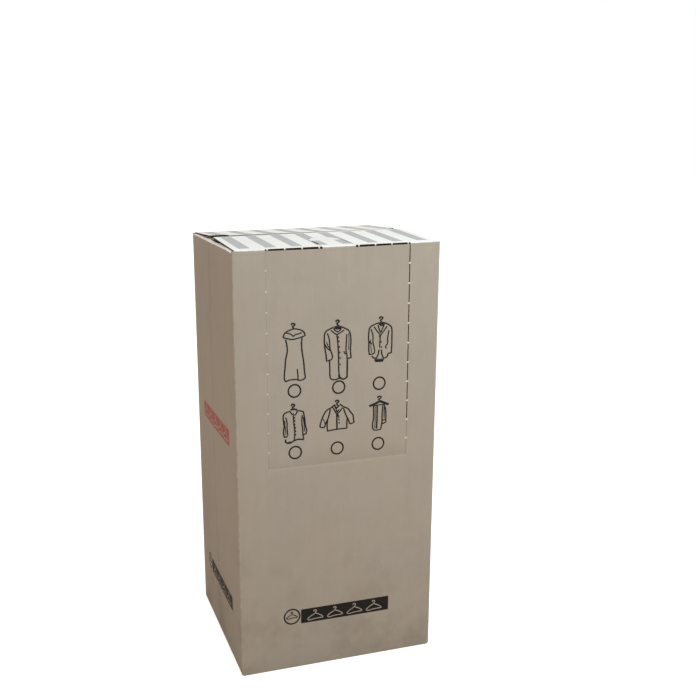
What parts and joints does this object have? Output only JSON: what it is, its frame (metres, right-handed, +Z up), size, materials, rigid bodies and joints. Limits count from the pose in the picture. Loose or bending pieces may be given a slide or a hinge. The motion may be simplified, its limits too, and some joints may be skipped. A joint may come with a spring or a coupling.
{
  "type": "wardrobe moving box",
  "caption": "Tall corrugated wardrobe carton with a perforated tear-out front door, hinged top flaps and a steel rail inside for clothes hangers.",
  "frame": {"origin": "centre of the base, on the floor", "axes": "+Z up; the tear-out door is on the -Y side; +X is to the right of someone facing the door"},
  "size_m": [0.6, 0.517, 1.2658],
  "materials": {
    "wall_board": "matt, printed brown liner",
    "flap_board": "matt, white liner with pale grey stripes",
    "zinc_steel": "zinc plated"
  },
  "bodies": {
    "carton": {"carton": "wall_board", "hanger_rail": "zinc_steel"},
    "front_flap": {"front_top_flap": "flap_board"},
    "rear_flap": {"rear_top_flap": "flap_board"}
  },
  "joints": [
    {"name": "front_flap_crease", "type": "hinge", "parent": "carton", "child": "front_flap", "pos_m": [0, -0.2585, 1.255], "axis": [1, 0, 0], "range_deg": [0, 262]},
    {"name": "rear_flap_crease", "type": "hinge", "parent": "carton", "child": "rear_flap", "pos_m": [0, 0.2585, 1.255], "axis": [-1, 0, 0], "range_deg": [0, 262]}
  ]
}
